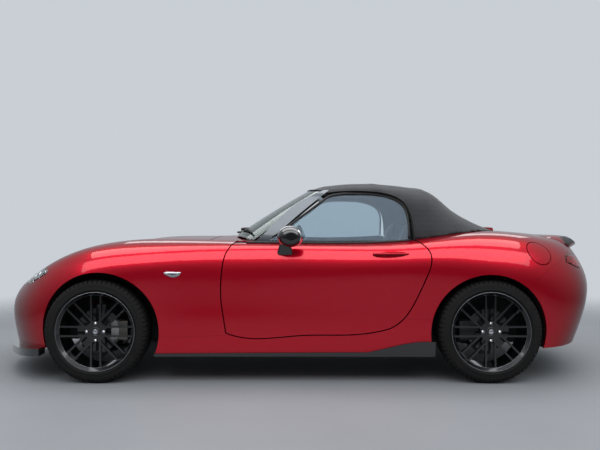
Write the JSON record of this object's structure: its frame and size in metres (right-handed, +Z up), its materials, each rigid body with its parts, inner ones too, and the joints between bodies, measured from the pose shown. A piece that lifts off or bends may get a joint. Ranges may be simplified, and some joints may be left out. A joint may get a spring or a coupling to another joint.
{
  "type": "convertible car",
  "caption": "Low two-door convertible car with its fabric hood up: opening doors, bonnet, boot lid and fuel flap, steered front wheels and a hollow cabin.",
  "frame": {"origin": "on the ground, midway along the body and midway between its sides", "axes": "+X rearwards, -X forwards, +Y to the right-hand side, -Y to the left-hand side, +Z up"},
  "size_m": [3.9126, 1.9144, 1.2133],
  "materials": {
    "painted_red": "metallic enamel, high gloss",
    "black_gloss": "gloss black moulding",
    "black_plastic": "grained moulding",
    "clear_lens": "clear lamp lens over chromed reflector",
    "red_lens": "moulded red lens",
    "pillar_metal": "grey silver enamel, gloss",
    "tinted_glass": "tinted safety glass",
    "hood_cloth": "woven hood cloth",
    "wheel_black": "gloss black enamel on cast alloy",
    "tyre_rubber": "matt rubber",
    "underbody_steel": "satin underseal",
    "chassis_iron": "cast, satin",
    "exhaust_steel": "brushed stainless",
    "seat_leather": "grained hide",
    "trim_black": "soft moulded trim",
    "engine_metal": "cast alloy, satin"
  },
  "bodies": {
    "body": {"front_bumper": "painted_red", "front_lip": "black_gloss", "grille": "black_plastic", "headlamps": "clear_lens", "front_wings": "painted_red", "cowl": "painted_red", "windscreen_frame": "pillar_metal", "windscreen": "tinted_glass", "soft_top": "hood_cloth", "rear_window": "tinted_glass", "rear_body": "painted_red", "tail_lamps": "red_lens", "rear_bumper": "painted_red", "diffuser": "black_plastic", "sills": "painted_red", "side_skirts": "black_gloss", "floor": "underbody_steel", "front_bulkhead": "underbody_steel", "rear_bulkhead": "trim_black", "boot_tub": "underbody_steel", "dashboard": "trim_black", "engine": "engine_metal", "exhaust": "exhaust_steel", "front_suspension": "chassis_iron", "rear_suspension": "chassis_iron", "seat_left": "seat_leather", "arch_liner_front_left": "black_plastic", "arch_liner_rear_left": "black_plastic", "seat_right": "seat_leather", "arch_liner_front_right": "black_plastic", "arch_liner_rear_right": "black_plastic"},
    "bonnet": {"bonnet": "painted_red"},
    "boot_lid": {"boot_lid": "painted_red", "boot_spoiler": "painted_red"},
    "fuel_flap": {"fuel_flap": "painted_red"},
    "door_left": {"door_left": "painted_red", "door_glass_left": "tinted_glass", "mirror_left": "black_gloss"},
    "door_right": {"door_right": "painted_red", "door_glass_right": "tinted_glass", "mirror_right": "black_gloss"},
    "knuckle_left": {"knuckle_left": "chassis_iron"},
    "knuckle_right": {"knuckle_right": "chassis_iron"},
    "wheel_front_left": {"wheel_front_left": "wheel_black", "tyre_front_left": "tyre_rubber"},
    "wheel_front_right": {"wheel_front_right": "wheel_black", "tyre_front_right": "tyre_rubber"},
    "wheel_rear_left": {"wheel_rear_left": "wheel_black", "tyre_rear_left": "tyre_rubber"},
    "wheel_rear_right": {"wheel_rear_right": "wheel_black", "tyre_rear_right": "tyre_rubber"},
    "steering_wheel": {"steering_wheel": "trim_black"},
    "steering_rack": {"steering_rack": "chassis_iron"}
  },
  "joints": [
    {"name": "bonnet_hinge", "type": "hinge", "parent": "body", "child": "bonnet", "pos_m": [-0.55985, 0, 0.85], "axis": [0, 1, 0], "range_deg": [0, 60]},
    {"name": "boot_hinge", "type": "hinge", "parent": "body", "child": "boot_lid", "pos_m": [1.3663, 0, 0.886], "axis": [0, -1, 0], "range_deg": [0, 65]},
    {"name": "door_left_hinge", "type": "hinge", "parent": "body", "child": "door_left", "pos_m": [-0.357, -0.812, 0.5], "axis": [0, 0, -1], "range_deg": [0, 60]},
    {"name": "door_right_hinge", "type": "hinge", "parent": "body", "child": "door_right", "pos_m": [-0.357, 0.812, 0.5], "axis": [0, 0, 1], "range_deg": [0, 60]},
    {"name": "flap_hinge", "type": "hinge", "parent": "body", "child": "fuel_flap", "pos_m": [1.33836, -0.80131, 0.76501], "axis": [0, -0.5428, -0.8398], "range_deg": [0, 75]},
    {"name": "steer_left", "type": "hinge", "parent": "body", "child": "knuckle_left", "pos_m": [-1.2025, -0.702, 0.303], "axis": [0, 0, 1], "range_deg": [-33, 33]},
    {"name": "wheel_front_left_spin", "type": "hinge", "parent": "knuckle_left", "child": "wheel_front_left", "pos_m": [-1.2025, -0.7475, 0.303], "axis": [0, 1, 0], "continuous": true},
    {"name": "wheel_rear_left_spin", "type": "hinge", "parent": "body", "child": "wheel_rear_left", "pos_m": [1.1075, -0.7525, 0.303], "axis": [0, 1, 0], "continuous": true},
    {"name": "steer_right", "type": "hinge", "parent": "body", "child": "knuckle_right", "pos_m": [-1.2025, 0.702, 0.303], "axis": [0, 0, 1], "range_deg": [-33, 33]},
    {"name": "wheel_front_right_spin", "type": "hinge", "parent": "knuckle_right", "child": "wheel_front_right", "pos_m": [-1.2025, 0.7475, 0.303], "axis": [0, 1, 0], "continuous": true},
    {"name": "wheel_rear_right_spin", "type": "hinge", "parent": "body", "child": "wheel_rear_right", "pos_m": [1.1075, 0.7525, 0.303], "axis": [0, 1, 0], "continuous": true},
    {"name": "steering_wheel_turn", "type": "hinge", "parent": "body", "child": "steering_wheel", "pos_m": [0.06, 0.372, 0.745], "axis": [0.9135, 0, 0.4067], "range_deg": [-463, 463]},
    {"name": "rack_slide", "type": "slide", "parent": "body", "child": "steering_rack", "axis": [0, 1, 0], "range_m": [-0.0577, 0.0577]}
  ],
  "couplings": [
    {"joint": "steer_right", "follows": "steer_left", "ratio": 1},
    {"joint": "steering_wheel_turn", "follows": "steer_left", "ratio": 14},
    {"joint": "rack_slide", "follows": "steer_left", "m_per_rad": -0.1}
  ]
}
